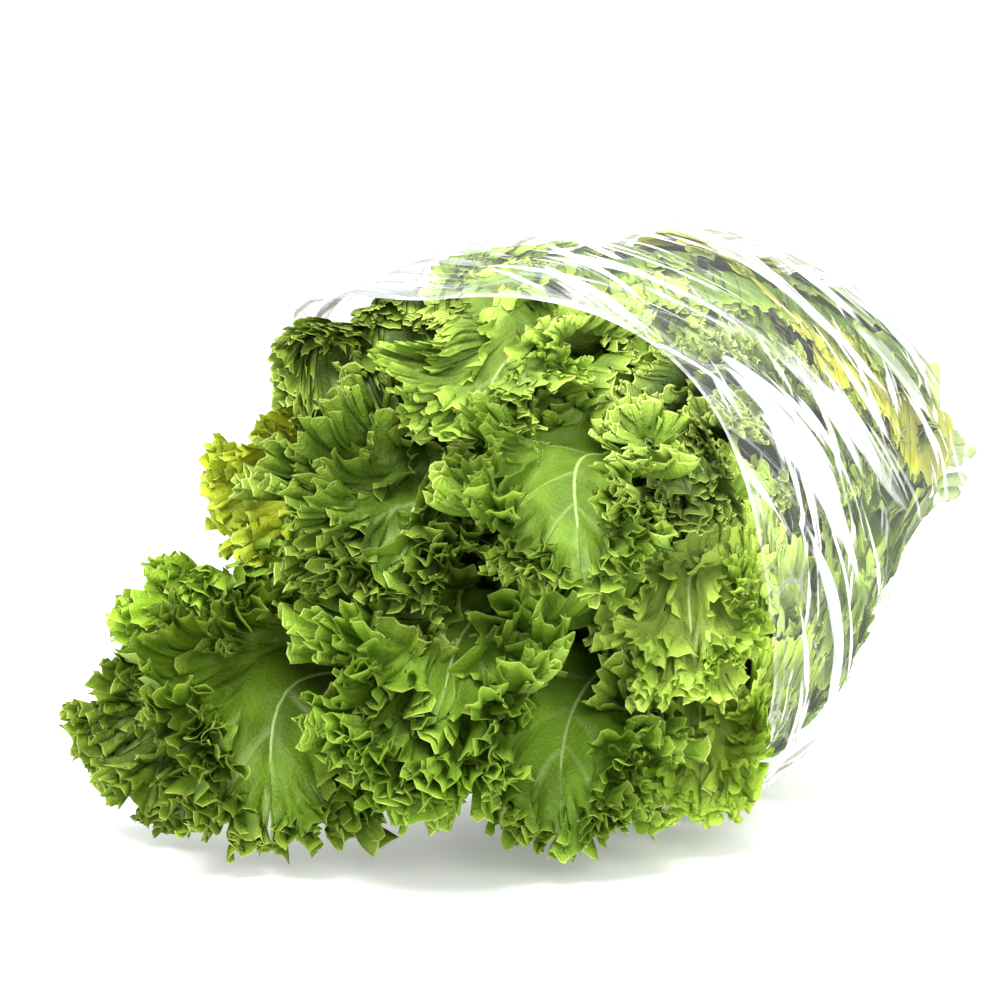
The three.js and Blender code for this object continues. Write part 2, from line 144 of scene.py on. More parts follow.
# Teeth drift by a share of their length, are pointed and uneven, and start at a share of the width.
TOOTH_DRIFT, TOOTH_POINT, TOOTH_UNEVEN, TOOTH_START = 0.9, 1.4, 0.6, 0.88
# Low on a leaf, where it is hidden, a share as many rows are enough.
HIDDEN_ROWS, HIDDEN = 0.15, (0.2, 0.5)
HANGS_FROM = 0.55  # the share of its length from which a tip hangs further
TONE_ROWS = 2.3  # from one tone of the leaf's colour to the next

# A leaf's solid fits in its room between its neighbours, inside the sleeve's lining and over the
# surface under the bunch. The room widens out of the mouth. The soft leaf is wider than its solid.
BLADE, GAP = 1.2, 2
SLEEVE_ROOM, LINING, REST_LIFT = 0.2, 4.5, 3
SPILL_START, SPILL_SLOPE, SPILL_FREE = 5, 1.6, 60
TRIED_SHARES = (0.46, 0.77, 1)
FIT_STEPS, FIT_SMOOTHING, NARROWEST = 16, 3, 0.12
WIDER = 1.6

# The soft leaves spread to a lining of the film, between two distances past its mouth and towards
# their margins.
FILL_LINING, FILL_STRENGTH, FILL_REACH, FILL_SHARES = 3, 0.85, (-25, 5), (0.05, 0.7)
# From a share of the way to the film, or from a height, they are pressed together. The share is
# larger inside the sleeve, and they stay over the lowest height.
HELD_LINING, SOFT, SOFT_INSIDE, SOFT_REACH = 1.5, 0.75, 0.93, (0, 40)
SOFT_FLOOR, LOWEST = 8, 0.4
# The crown sinks at the top of the mouth, and hardly rises out of it there.
SINK, SINK_BEARING, SINK_SPREAD, SINK_REACH = 0.13, 105, 38, (-10, 50)
TOP_SLOPE, TOP_SINES = 0.1, (0.2, 0.6)

BROAD, CURLY, TIGHT, TUCKED = "broad", "curly", "tight", "tucked"
# Each leaf: the bearing and ring of its stem, x of its cut, its crown and tip, the way that its upper
# side faces, its share of the room between leaves, the width of each half, its curl and its colour.
# The colour is partly painted light and shade: leaves that lie in shade are made lighter, and ones
# that the light falls on strongly are made darker.
# Some also have a lift of the cut end in y and z, a trim, which is the share of their widths that
# the two halves keep, or a tip that hangs further by so much.
LEAVES = [
    dict(name="leaf_front_floor", slot=(285, OUTER), end=221, crown=(-150, 46, 66), tip=(-176, 32, 6),
         face=(-0.8, -0.5, 0.3), room=50, width=62, trim=(1.2, 1),
         curl=BROAD, tint_and_painted_light=(0.084, 0.17, 0.017)),
    dict(name="leaf_left_floor", slot=(312, OUTER), end=214, crown=(-146, 96, 50), tip=(-176, 128, 24),
         face=(-0.7, -0.6, 0.4), room=46, width=58,
         curl=CURLY, tint_and_painted_light=(0.078, 0.155, 0.018)),
    dict(name="leaf_left_low", slot=(340, OUTER), end=226, crown=(-118, 92, 93), tip=(-156, 130, 66),
         face=(-0.7, -0.7, 0.3), room=50, width=60, trim=(1, 0.55),
         curl=CURLY, tint_and_painted_light=(0.17, 0.34, 0.03)),
    dict(name="leaf_left", slot=(8, OUTER), end=209, crown=(-94, 68, 144), tip=(-124, 110, 124),
         face=(-0.7, -0.7, 0.2), room=50, width=60, trim=(1, 0.75),
         curl=CURLY, tint_and_painted_light=(0.30, 0.40, 0.03)),
    dict(name="leaf_left_top", slot=(62, OUTER), end=217, crown=(-82, 50, 192), tip=(-118, 86, 178),
         face=(-0.7, -0.7, 0.2), room=50, width=58, trim=(1, 0.8),
         curl=TIGHT, tint_and_painted_light=(0.07, 0.14, 0.02)),
    dict(name="leaf_top_front", slot=(95, INNER), end=230, crown=(-76, -6, 203), tip=(-114, -14, 164),
         face=(-0.8, -0.2, 0.5), room=46, width=60, trim=(1, 0.8),
         curl=TIGHT, tint_and_painted_light=(0.23, 0.40, 0.10)),
    dict(name="leaf_heart", slot=(165, INNER), end=240, crown=(-92, -52, 158), tip=(-132, -84, 110),
         face=(-0.8, -0.4, 0.4), room=44, width=60, trim=(1, 0.8),
         curl=BROAD, tint_and_painted_light=(0.12, 0.235, 0.038)),
    dict(name="leaf_heart_left", slot=(20, INNER), end=222, crown=(-112, 10, 146), tip=(-154, -12, 98),
         face=(-0.8, -0.3, 0.5), room=46, width=60,
         curl=CURLY, tint_and_painted_light=(0.078, 0.16, 0.022)),
    dict(name="leaf_heart_low", slot=(300, INNER), end=228, crown=(-122, -18, 92), tip=(-160, -34, 44),
         face=(-0.8, -0.4, 0.4), room=44, width=58, trim=(1.15, 1.2), hang=24,
         curl=CURLY, tint_and_painted_light=(0.12, 0.25, 0.03)),
    dict(name="leaf_front_low", slot=(235, INNER), end=212, crown=(-88, -42, 58), tip=(-114, -56, 14),
         face=(-0.8, -0.5, 0.3), room=40, width=54, trim=(1, 1.2), hang=6,
         curl=BROAD, tint_and_painted_light=(0.11, 0.23, 0.03)),
    dict(name="leaf_right_fine", slot=(212, OUTER), end=219, crown=(-50, -70, 110), tip=(-82, -98, 66),
         face=(-0.8, -0.5, 0.3), room=38, width=42,
         curl=TIGHT, tint_and_painted_light=(0.30, 0.48, 0.13)),
    dict(name="leaf_right_floor", slot=(238, OUTER), end=224, crown=(-22, -54, 56), tip=(-54, -78, 12),
         face=(-0.7, -0.6, 0.3), room=38, width=50,
         curl=TIGHT, tint_and_painted_light=(0.32, 0.52, 0.11)),
    dict(name="leaf_right_top", slot=(158, OUTER), end=215, crown=(-42, -62, 166), tip=(-74, -92, 128),
         face=(-0.8, -0.5, 0.4), room=38, width=44, trim=(0.8, 0.8),
         curl=TIGHT, tint_and_painted_light=(0.055, 0.11, 0.028)),
    dict(name="leaf_film_top", slot=(88, OUTER), end=197, crown=(0, 12, 206), tip=(-44, 14, 204),
         face=(-0.3, 0.0, -1.0), room=34, width=46,
         curl=TUCKED, tint_and_painted_light=(0.12, 0.23, 0.045)),
    dict(name="leaf_film_yellow", slot=(124, OUTER), end=222, crown=(72, -24, 192), tip=(28, -40, 200),
         face=(-0.2, 0.4, -0.9), room=32, width=44,
         curl=TUCKED, tint_and_painted_light=(0.38, 0.43, 0.04), lift=(12, 22)),
    dict(name="leaf_film_right", slot=(186, OUTER), end=210, crown=(58, -62, 112), tip=(16, -78, 110),
         face=(-0.2, 1.0, 0.1), room=32, width=44,
         curl=TUCKED, tint_and_painted_light=(0.13, 0.25, 0.04)),
    dict(name="leaf_film_left", slot=(35, OUTER), end=216, crown=(28, 57, 160), tip=(-12, 72, 158),
         face=(-0.2, -1.0, 0.0), room=34, width=48,
         curl=TUCKED, tint_and_painted_light=(0.15, 0.28, 0.04)),
    dict(name="leaf_film_under", slot=(262, OUTER), end=227, crown=(24, -8, 34), tip=(-26, -4, 30),
         face=(-0.2, 0.0, 1.0), room=34, width=46,
         curl=TUCKED, tint_and_painted_light=(0.13, 0.26, 0.04)),
]
# Each curl: its folds, from the widest to the finest, by their length, their height and the share of
# the width from which they grow. How far its margin rolls up, in radians, and from which share. The
# length and depth of its teeth. The least share of its full width, and the share of it low down. How
# dark its painted shade makes it deep inside, away from its margin. Its lobes, the lowest first, by
# their share of the width and their steps along the margin. The trim where a leaf gives none.
CURLS = {
    BROAD: dict(folds=[(22, 8.5, 0.22), (9.0, 4.8, 0.4), (4.4, 2.1, 0.66)], roll=(1.9, 0.32),
                teeth=(3.2, 2.2), least=0.85, low=0.5, inner_painted_shade=0.0,
                lobes=[(1.0, 1008), (0.74, 621)], trim=(1, 1)),
    CURLY: dict(folds=[(17, 8.0, 0.18), (7.6, 4.5, 0.36), (3.9, 2.0, 0.6)], roll=(1.9, 0.23),
                teeth=(2.8, 2.0), least=0.8, low=0.5, inner_painted_shade=0.3,
                lobes=[(1.0, 783), (0.74, 477), (0.48, 306)], trim=(1, 1)),
    TIGHT: dict(folds=[(12, 5.5, 0.2), (5.6, 3.0, 0.36), (3.2, 1.4, 0.58)], roll=(1.5, 0.2),
                teeth=(2.1, 1.5), least=0.88, low=0.6, inner_painted_shade=0.7,
                lobes=[(1.0, 1026), (0.7, 594), (0.4, 306)], trim=(1, 1)),
    TUCKED: dict(folds=[(14, 5.5, 0.0), (6.5, 3.2, 0.25), (3.8, 1.2, 0.6)], roll=(-0.6, 0.5),
                 teeth=(2.4, 1.5), least=1.0, low=0.95, inner_painted_shade=0.1,
                 lobes=[(1.0, 576), (0.55, 261)], trim=(1.2, 1.2)),
}
LOBE_LIFT = 2.5  # from one lobe to the next that lies on it
# The blade's three bands, from the rib to the margin, by shares of its width. Along the margin, the
# points of each band stand as many steps apart.
BANDS = [
    [0, 0.06, 0.14, 0.23, 0.32],
    [0.4, 0.47, 0.54, 0.6, 0.66],
    [0.72, 0.78, 0.835, 0.885, 0.93, 0.97, 1],
]
SKIPS = (9, 3, 1)
SHARES = np.array(sum(BANDS, []))

# ---- Small sums ----


def mix(a, b, share):
    return a + (b - a) * share


def rise(value, low, high):
    part = np.clip((value - low) / (high - low), 0, 1)
    return part * part * (3 - 2 * part)


def unit(vectors):
    return vectors / np.maximum(np.linalg.norm(vectors, axis=-1, keepdims=True), 1e-9)


def dot(a, b):
    return np.sum(a * b, axis=-1, keepdims=True)


def wander(place, spacing, seed):
    """Smooth random values from -1 to 1, with a new one every spacing."""
    draws = np.random.default_rng(seed).uniform(-1, 1, 512)
    at = np.asarray(place) / spacing
    low = np.floor(at).astype(int)
    part = rise(at - low, 0, 1)
    return mix(draws[low % 512], draws[(low + 1) % 512], part)


def curve_through(rows):
    """The same smooth curve through rows of numbers as the solids use."""
    rows = np.array(rows, float)
    places, values = rows[:, 0], rows[:, 1:]
    last = len(places) - 1

    def at(place):
        place = np.clip(np.asarray(place, float), places[0], places[-1])
        i = np.clip(np.searchsorted(places, place, "right"), 1, last)
        start, stop = places[i - 1], places[i]
        before = np.where(i > 1, i - 2, i)
        after = np.where(i < last, i + 1, i - 1)
        after = np.clip(after, 0, last)
        half = (stop - start) / 2
        w0 = (half / (start - places[before]))[..., None]
        w1 = (half / (places[after] - stop))[..., None]
        p = ((place - start) / (stop - start))[..., None]
        a = -w0 * p**3 + 2 * w0 * p**2 - w0 * p
        b = (1 + w0) * p**3 + (-1.5 - 2 * w0) * p**2 + (-0.5 + w0) * p + 1
        c = (-1 - w1) * p**3 + (1.5 + w1) * p**2 + 0.5 * p
        d = w1 * p**3 - w1 * p**2
        return a * values[before] + b * values[i - 1] + c * values[i] + d * values[after]

    return at


section_at = curve_through(SECTIONS)
mouth_at = curve_through(MOUTH)


def bearing_of(points, section):
    y = (points[..., 1] - section[..., 0]) / section[..., 2]
    z = (points[..., 2] - section[..., 1]) / section[..., 3]
    return np.degrees(np.arctan2(z, y)) % 360


def in_bunch(x, bearing, share):
    cy, cz, ry, rz = section_at(x)
    angle = math.radians(bearing)
    return np.array([x, cy + ry * share * math.cos(angle), cz + rz * share * math.sin(angle)])


# ---- A leaf's middle line ----


def smooth_line(points, steps):
    """A centripetal curve through points, as many points along it."""
    points = np.array(points, float)
    ends = [2 * points[0] - points[1], 2 * points[-1] - points[-2]]
    held = np.vstack([ends[0], points, ends[1]])
    made = []
    for i in range(len(points) - 1):
        p0, p1, p2, p3 = held[i : i + 4]
        d0, d1, d2 = (np.sum((b - a) ** 2) ** 0.25 for a, b in ((p0, p1), (p1, p2), (p2, p3)))
        t1 = ((p1 - p0) / d0 - (p2 - p0) / (d0 + d1) + (p2 - p1) / d1) * d1
        t2 = ((p2 - p1) / d1 - (p3 - p1) / (d1 + d2) + (p3 - p2) / d2) * d1
        t = np.linspace(0, 1, steps, endpoint=i == len(points) - 2)[:, None]
        c2 = -3 * p1 + 3 * p2 - 2 * t1 - t2
        c3 = 2 * p1 - 2 * p2 + t1 + t2
        made.append(p1 + t1 * t + c2 * t**2 + c3 * t**3)
    return np.vstack(made)


def stem_points(leaf):
    bearing, ring = leaf["slot"]
    lift = np.array([0, *leaf.get("lift", (0, 0))])
    held = [in_bunch(x, bearing, ring) for x in STATIONS if x > leaf["crown"][0] + CROWN_RUN]
    return [in_bunch(leaf["end"], bearing, ring) + lift, *held, leaf["crown"], leaf["tip"]]


def set_path(leaf):
    line = smooth_line(stem_points(leaf), LINE_STEPS)
    lengths = np.r_[0, np.cumsum(np.linalg.norm(np.diff(line, axis=0), axis=1))]
    leaf["line"], leaf["places"], leaf["length"] = line, lengths / lengths[-1], lengths[-1]
    along = np.linspace(0, 1, PATH_STEPS + 1)
    leaf["samples"] = path_at(leaf, along)
    section = section_at(leaf["samples"][:, 0])
    room = SLEEVE_ROOM * np.minimum(section[:, 2], section[:, 3])
    leaf["rooms"] = mix(room, leaf["room"], rise(along, *OPENING))
    leaf["cores"] = mix(STEM_RADIUS, RIB_TIP_RADIUS, along)


def path_at(leaf, along):
    along = np.clip(along, 0, 1)
    return np.stack([np.interp(along, leaf["places"], leaf["line"][:, k]) for k in range(3)], -1)


def ahead_at(leaf, along):
    along = np.clip(along, 0, 1)
    return unit(path_at(leaf, along + 0.004) - path_at(leaf, along - 0.004))


def inwards_of(leaf):
    angle = math.radians(leaf["slot"][0])
    return np.array([0, -math.cos(angle), -math.sin(angle)])


def settle_sides(leaf):
    ahead = ahead_at(leaf, np.array(OPENING[1]))
    face = np.array(leaf["face"]) - ahead * dot(np.array(leaf["face"]), ahead)
    turned = -1 if float(dot(face, inwards_of(leaf))[0]) < 0 else 1
    leaf["upper"], leaf["turned"] = unit(face * turned), turned
    leaf["bend"] = CUP * turned


def frame_at(leaf, along):
    along = np.clip(along, 0, 1)
    ahead = ahead_at(leaf, along)
    upper = mix(inwards_of(leaf), leaf["upper"], rise(along, *OPENING)[..., None])
    upper = unit(upper - ahead * dot(upper, ahead))
    return path_at(leaf, along), ahead, upper, np.cross(ahead, upper)


# ---- A leaf's room among its neighbours ----


def nearest(leaf, points):
    """The nearest place on a leaf's middle line: its distance, the room there and the core."""
    a, b = leaf["samples"][:-1], leaf["samples"][1:]
    step = b - a
    t = np.sum((points[:, None] - a) * step, -1) / np.sum(step * step, -1)
    t = np.clip(t, 0, 1)
    gaps = np.linalg.norm(points[:, None] - (a + step * t[..., None]), axis=-1)
    i = np.argmin(gaps, axis=1)
    row = np.arange(len(points))
    room = mix(leaf["rooms"][i], leaf["rooms"][i + 1], t[row, i])
    return gaps[row, i], room, leaf["cores"][i]


def inside_sleeve(points):
    """Whether points are inside the sleeve's lining, or in the room that widens out of its mouth."""
    section = section_at(points[..., 0])
    mouth = mouth_at(bearing_of(points, section))[..., 0]
    spill = np.maximum(0, mouth - SPILL_START - points[..., 0]) * SPILL_SLOPE
    ry, rz = section[..., 2] + spill - LINING, section[..., 3] + spill - LINING
    lined = np.hypot((points[..., 1] - section[..., 0]) / ry, (points[..., 2] - section[..., 1]) / rz) < 1
    spilt = (lined | (points[..., 0] < mouth - SPILL_FREE)) & (points[..., 2] > BLADE / 2)
    return np.where(spill > 0, spilt, lined & (points[..., 2] > REST_LIFT))


def is_free(leaf, points, others):
    """Whether points are in the leaf's own room: nearer to it than to the others, for their rooms."""
    free = inside_sleeve(points)
    own, own_room, _ = nearest(leaf, points)
    clear = (BLADE + GAP) / 2
    for other in others:
        gap, room, core = nearest(other, points)
        free &= (gap - core - clear) / room >= (own + clear) / own_room
    return free


# ---- A leaf's blade ----


def vein_place(row):
    return 1 - (1 - row / ROWS) ** ROW_CROWDING


def half_width(leaf, t):
    spread = mix(CURLS[leaf["curl"]]["low"], 1, rise(t, BASE_LENGTH, WIDEST))
    past = np.clip((t - WIDEST) / (1 - WIDEST), 0, 1)
    width = mix(BASE_WIDTH, leaf["width"] * spread, rise(t, 0, BASE_LENGTH))
    return width * np.sqrt(1 - past**TIP_ROUNDNESS)


def blade_points(leaf, row, share, hand, fit):
    """Points of the blade's middle surface by side vein, share of the way to the margin and hand."""
    t = vein_place(row)
    root = mix(BLADE_START, 1, ROOT_REACH * t)
    margin = mix(BLADE_START, 1, t)
    origin, _, upper, side = frame_at(leaf, mix(root, margin, share))
    foot = mix(RIB_FOOT, RIB_FOOT_TIP, t) * np.clip((1 - t) / 0.03, 0, 1)
    width = np.maximum(half_width(leaf, t) * fit, foot + MARGIN_PAST_RIB * (1 - t))
    across = mix(foot, width, share) * np.clip(share / 0.05, 0, 1)
    bend = mix(STEM_BEND, leaf["bend"], rise(margin, *OPENING))
    turn = np.clip(bend * across, -MOST_TURN, MOST_TURN)
    radius = across / np.where(np.abs(turn) < 1e-9, 1, turn)
    sideways, lift = radius * np.sin(turn), radius * (1 - np.cos(turn))
    swing = 2 * math.pi * row / FRILL_ROWS + leaf["phase"] + hand
    height = FRILL * half_width(leaf, t) * fit * rise(t, *FRILL_GROWTH)
    frill = height * share**2 * np.sin(swing)
    sideways = hand * (sideways - frill * np.sin(turn))
    return origin + side * sideways[..., None] + upper * (lift + frill * np.cos(turn))[..., None]


def fits_of(leaf, hand, others):
    """For each side vein, the widest share of its full width that stays in the leaf's room."""
    steps = np.arange(FIT_STEPS, 0, -1)
    tried = mix(NARROWEST, 1, steps / FIT_STEPS)
    row, share, fit = np.meshgrid(np.arange(ROWS + 1), TRIED_SHARES, tried, indexing="ij")
    points = blade_points(leaf, row, share, hand, fit)
    free = is_free(leaf, points.reshape(-1, 3), others).reshape(row.shape).all(axis=1)
    fits = np.where(free.any(axis=1), tried[np.argmax(free, axis=1)], NARROWEST)
    for _ in range(FIT_SMOOTHING):
        around = np.r_[fits[0], fits, fits[-1]]
        fits = np.minimum(fits, (around[:-2] + around[2:]) / 2)
    return fits


def sheet_frame(sheet, hand):
    """The directions along the margin, out to it, and up from the blade's upper side."""
    run = unit(np.gradient(sheet, axis=0))
    out = unit(np.gradient(sheet, axis=1))
    return run, out, unit(np.cross(out, run)) * hand


def length_along(sheet):
    edge = np.linalg.norm(np.diff(sheet[:, -1], axis=0), axis=1)
    return np.r_[0, np.cumsum(edge)]


def roll_margin(sheet, turn, start, hand, seed):
    """Rolls the margin up by an angle, from a share of the width outwards."""
    k = int(np.searchsorted(SHARES, start))
    along = length_along(sheet)
    turn = (turn * (0.9 + ROLL_UNEVEN * wander(along, ROLL_LENGTH, seed)))[:, None]
    _, _, up = sheet_frame(sheet, hand)
    arm = sheet[:, -1:] - sheet[:, k : k + 1]
    wide = np.linalg.norm(arm, axis=-1)
    part = (SHARES[k:] - SHARES[k]) / (1 - SHARES[k])
    angle = np.where(np.abs(turn) < LEAST_ROLL, LEAST_ROLL, turn)
    flat = wide * np.sin(angle * part) / angle
    raised = wide * (1 - np.cos(angle * part)) / angle
    hinge = slice(k, k + 1)
    rolled = sheet.copy()
    rolled[:, k:] = sheet[:, hinge] + unit(arm) * flat[..., None] + up[:, hinge] * raised[..., None]
    return rolled


def lay_folds(sheet, length, height, start, hand, seed):
    """Adds folds along the margin that grow from a share of the width, lean and overhang."""
    along = length_along(sheet)
    run, out, up = sheet_frame(sheet, hand)
    lean = FOLD_LEAN * wander(along, 2.4 * length, seed + 4)[:, None] * rise(SHARES, start, 1)
    drift = FOLD_DRIFT * wander(along, 1.7 * length, seed)
    swing = (2 * math.pi * along / length + drift)[:, None] + lean
    size = height * (0.85 + 0.5 * wander(along, 1.3 * length, seed + 1))
    grow = size[:, None] * rise(SHARES, start, 1.08) ** 1.3
    over = FOLD_OVERHANG * np.sin(2 * swing + 0.6 * wander(along, length, seed + 2)[:, None])
    reach = FOLD_REACH * np.cos(swing + 1.5 * wander(along, 2 * length, seed + 3)[:, None])
    moved = up * (grow * np.sin(swing))[..., None] + run * (grow * over)[..., None]
    return sheet + moved + out * (grow * reach)[..., None], swing


def cut_teeth(sheet, length, depth, seed):
    """Draws the margin out into pointed teeth."""
    along = length_along(sheet)
    _, out, _ = sheet_frame(sheet, 1)
    place = (along / length + TOOTH_DRIFT * wander(along, 2.5 * length, seed)) % 1
    point = 1.6 * (1 - np.abs(2 * place - 1)) ** TOOTH_POINT - 0.5
    size = depth * (1 + TOOTH_UNEVEN * wander(along, 2.2 * length, seed + 1))
    reach = (size * point)[:, None] * rise(SHARES, TOOTH_START, 1) ** 1.3
    return sheet + out * reach[..., None]


def vein_lines(row, spacing, seed):
    """How strongly each point of the blade is a vein, from 0 to 1."""
    draws = np.random.default_rng(seed)
    share = SHARES[None, :]
    vein = np.zeros(row.shape + (len(SHARES),))
    for centre in np.arange(FIRST_VEIN, ROWS + 1, VEIN_SPACING):
        centre = centre + draws.uniform(-VEIN_SHIFT, VEIN_SHIFT)
        lines = [(0, 0.0, VEIN_WIDTH)]
        for aside, starts, width in FORKS:
            lines += [(way * aside, draws.uniform(*starts), width) for way in (-1, 1)]
        for aside, start, width in lines:
            line = centre + FORK_ROWS * aside * rise(share, start, 1.05)
            gap = np.abs(row[:, None] - line) * spacing
            wide = mix(width, VEIN_END, share)
            on = np.clip(1.4 - gap / wide, 0, 1) * rise(share, start - 0.02, start + 0.02)
            vein = np.maximum(vein, on * (1 - rise(share, 0.82, 0.97)) * mix(1, 0.65, share))
    return vein


def even_out(sheet, *held):
    """Spaces a sheet's rows evenly along its margin, with fewer where the row is hidden."""
    row = held[0]
    seen = mix(HIDDEN_ROWS, 1, rise(vein_place(row[1:]), *HIDDEN))
    runs = np.r_[0, np.cumsum(np.linalg.norm(np.diff(sheet[:, -1], axis=0), axis=1) * seen)]
    at = np.interp(np.linspace(0, runs[-1], len(runs)), runs, np.arange(len(runs)))
    low = np.minimum(at.astype(int), len(runs) - 2)
    part = at - low
    return [mix(a[low], a[low + 1], part.reshape(-1, *[1] * (a.ndim - 1))) for a in (sheet, *held)]


def spread_half(leaf, hand, others, number):
    """Half a blade, or half a lobe that lies on it, before its folds, with its rows and widths."""
    curl = CURLS[leaf["curl"]]
    size, steps = curl["lobes"][number]
    fits = size * np.clip(WIDER * fits_of(leaf, hand, others), curl["least"], 1)
    fits = fits * leaf.get("trim", curl["trim"])[hand > 0]
    row = np.linspace(0, ROWS, steps + 1)
    for _ in range(2):
        fit = np.interp(row, np.arange(ROWS + 1), fits)
        rows, shares = np.meshgrid(row, SHARES, indexing="ij")
        sheet = blade_points(leaf, rows, shares, hand, fit[:, None])
        hang = leaf.get("hang", 0) * rise(vein_place(rows), HANGS_FROM, 1) * SHARES
        sheet = sheet + hang[..., None] * ahead_at(leaf, np.array(1.0))
        sheet, row = even_out(sheet, row)
    return sheet, row, half_width(leaf, vein_place(row)) * fit


def puff_up(leaf, sheet, row, hand, number):
    """Puffs the blade up between its side veins, and lifts a lobe off the one that it lies on."""
    _, _, up = sheet_frame(sheet, hand)
    off_rib = rise(SHARES, 0, PUFF_SHARES[0])
    between = np.sin(math.pi * ((row - FIRST_VEIN) / VEIN_SPACING % 1))[:, None] * off_rib
    puffed = VEIN_PUFF * between * (1 - rise(SHARES, PUFF_SHARES[1], 1))
    puffed = puffed + leaf["turned"] * LOBE_LIFT * number * off_rib
    return sheet + up * puffed[..., None]


def half_lobe(leaf, hand, others, seed, number):
    """One half of a blade or of a lobe that lies on it, and what its colours follow."""
    curl = CURLS[leaf["curl"]]
    sheet, row, wide = spread_half(leaf, hand, others, number)
    place = vein_place(row)
    spacing = np.linalg.norm(np.gradient(sheet, axis=0), axis=-1) / np.gradient(row)[:, None]
    vein = vein_lines(row, spacing, seed)
    tone = np.repeat(0.5 + 0.25 * wander(row, TONE_ROWS, seed + 40)[:, None], len(SHARES), axis=1)
    sheet = puff_up(leaf, sheet, row, hand, number)
    turn, start = curl["roll"]
    turn = leaf["turned"] * turn * (1 - LOBE_UNROLLED * number) * mix(1, TIP_ROLL, rise(place, *TIP_FLAT))
    sheet = roll_margin(sheet, turn, start, hand, seed + 5)
    fade = rise(place, 0, FOLDS_FULL) * rise(wide, *FOLDED_WIDTHS)
    for k, (length, height, start) in enumerate(curl["folds"]):
        sheet, row, fade, vein, tone = even_out(sheet, row, fade, vein, tone)
        folded, swing = lay_folds(sheet, length, height, start, hand, seed + 10 * (k + 1))
        sheet = mix(sheet, folded, np.maximum(fade, 0.2 * k)[:, None, None])
        # Painted light and shade: the tone is lighter on fold crests and darker in their hollows.
        tone = tone + 0.12 * np.sin(swing) * rise(SHARES, start, 1)
    sheet, row, vein, tone = even_out(sheet, row, vein, tone)
    return cut_teeth(sheet, *curl["teeth"], seed + 30), vein, tone


def slack(x, bearing):
    """How far out the limp film stands from its cross-section."""
    past = np.maximum(x - mouth_at(bearing)[..., 0], 0)
    ear = EAR_LIFT * np.exp(-(((bearing - EAR_BEARING) / EAR_SPREAD) ** 2) - past / EAR_DEPTH)
    droop = DROOP * np.exp(-(((bearing - DROOP_BEARING) / DROOP_SPREAD) ** 2) - past / EAR_DEPTH)
    top = np.maximum(np.sin(np.radians(bearing)), 0) ** 2
    return ear - droop + BULGE * top * np.exp(-(((x - BULGE_X) / BULGE_LENGTH) ** 2))


def film_share(points, lining):
    """How far points are from the bunch's middle, and their share of the way to the film's lining."""
    section = section_at(points[..., 0])
    bearing = bearing_of(points, section)
    past = np.maximum(0, mouth_at(bearing)[..., 0] - SPILL_START - points[..., 0])
    spill = past * mix(SPILL_SLOPE, TOP_SLOPE, rise(np.sin(np.radians(bearing)), *TOP_SINES))
    reach = (slack(points[..., 0], bearing) + spill - lining)[..., None] + section[..., 2:]
    off = points[..., 1:] - section[..., :2]
    return off, np.linalg.norm(off / reach, axis=-1)


def fill_sleeve(sheet):
    """Spreads the blade towards the film where it is inside the sleeve, and more towards its margin."""
    off, share = film_share(sheet, FILL_LINING)
    mouth = mouth_at(bearing_of(sheet, section_at(sheet[..., 0])))[..., 0]
    start, stop = (mouth + distance for distance in FILL_REACH)
    inside = rise(sheet[..., 0], start, stop) * rise(SHARES, *FILL_SHARES) * (share < 1)
    spread = mix(1, np.maximum(share, 0.2) ** -FILL_STRENGTH, inside)
    sheet[..., 1:] += off * (spread - 1)[..., None]
    return sheet


def hold_in(points):
    """Presses what comes near the film or the surface under the bunch softly together."""
    off, share = film_share(points, HELD_LINING)
    bearing = bearing_of(points, section_at(points[..., 0]))
    past = points[..., 0] - mouth_at(bearing)[..., 0]
    sunk = SINK * np.exp(-(((bearing - SINK_BEARING) / SINK_SPREAD) ** 2)) * (1 - rise(past, *SINK_REACH))
    near = share * (1 - sunk)
    soft = mix(SOFT, SOFT_INSIDE, rise(past, *SOFT_REACH))
    pressed = soft + (1 - soft) * np.tanh((near - soft) / (1 - soft))
    near = np.where(near > soft, pressed, near)
    points[..., 1:] += off * (near / np.maximum(share, 0.01) - 1)[..., None]
    low = np.minimum(points[..., 2] / SOFT_FLOOR - 1, 0)
    points[..., 2] = np.where(low < 0, LOWEST + (SOFT_FLOOR - LOWEST) * np.exp(low), points[..., 2])
    return points


# ---- Meshes ----

# Where a piece lies on its own texture, across and along. A leaf's lobes lie side by side with small
# gaps, and its stem beyond them.
TEXTURE = (0.01, 0.99)
LOBES_START, HALVES_WIDE, LOBE_GAP = 0.01, 0.46, 0.005
STEM_STRIP = (0.93, 0.99)


def make_mesh(name, points, faces, places, values):
    """A smooth mesh of triangles. Places are for a texture, one each point, and values are named."""
    mesh = bpy.data.meshes.new(name)
    mesh.vertices.add(len(points))
    mesh.vertices.foreach_set("co", (points * 0.001).astype(np.float32).ravel())
    mesh.loops.add(faces.size)
    mesh.loops.foreach_set("vertex_index", faces.astype(np.int32).ravel())
    mesh.polygons.add(len(faces))
    mesh.polygons.foreach_set("loop_start", np.arange(0, faces.size, 3, dtype=np.int32))
    mesh.polygons.foreach_set("loop_total", np.full(len(faces), 3, np.int32))
    mesh.polygons.foreach_set("use_smooth", np.ones(len(faces), bool))
    unwrapped = mesh.uv_layers.new(name="OFBake")
    unwrapped.data.foreach_set("uv", places[faces.ravel()].astype(np.float32).ravel())
    for key, value in values.items():
        held = mesh.attributes.new(key, "FLOAT", "POINT")
        held.data.foreach_set("value", value.astype(np.float32))
    mesh.update()
    mesh.validate()
    piece = bpy.data.objects.new(name, mesh)
    bpy.context.collection.objects.link(piece)
    return piece


